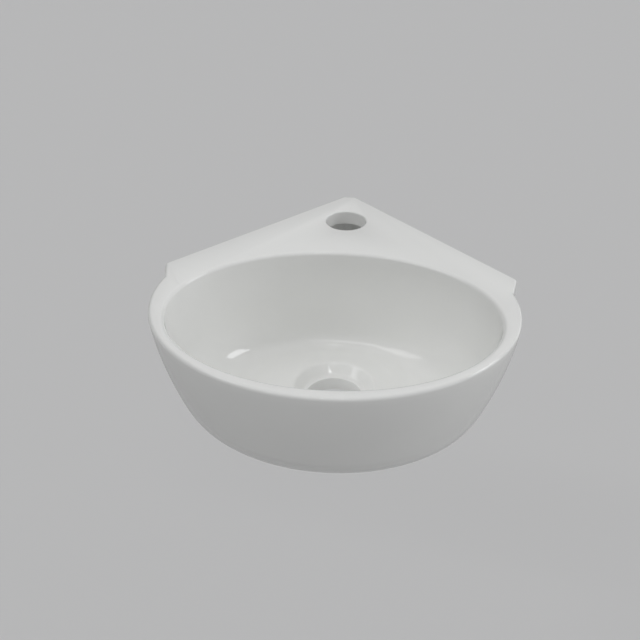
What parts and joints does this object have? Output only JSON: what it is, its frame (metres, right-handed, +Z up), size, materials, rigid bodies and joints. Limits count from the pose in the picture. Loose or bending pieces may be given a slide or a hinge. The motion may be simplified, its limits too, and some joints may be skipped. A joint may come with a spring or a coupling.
{
  "type": "corner basin",
  "caption": "Small wall-hung corner hand basin in white glazed china: triangular deck with one tap hole, two short wings, oval bowl with a waste hole and hidden wall fixings.",
  "frame": {"origin": "the vertical line where the two room walls meet, at the level of the rim", "axes": "+Z up, -Y out of the corner into the room, +X to the right seen from the room; the walls run along (1,-1,0) and (-1,-1,0)"},
  "size_m": [0.2824, 0.2993, 0.111],
  "materials": {
    "china": "white glaze, gloss",
    "bolt_steel": "bright zinc",
    "washer_steel": "bright zinc",
    "plug_nylon": "grey nylon",
    "bush_nylon": "natural nylon"
  },
  "bodies": {
    "root": {"basin_body": "china", "hanger_bolt_left": "bolt_steel", "wall_plug_left": "plug_nylon", "collar_bush_left": "bush_nylon", "washer_left": "washer_steel", "nut_left": "bolt_steel", "hanger_bolt_right": "bolt_steel", "wall_plug_right": "plug_nylon", "collar_bush_right": "bush_nylon", "washer_right": "washer_steel", "nut_right": "bolt_steel"}
  },
  "joints": []
}
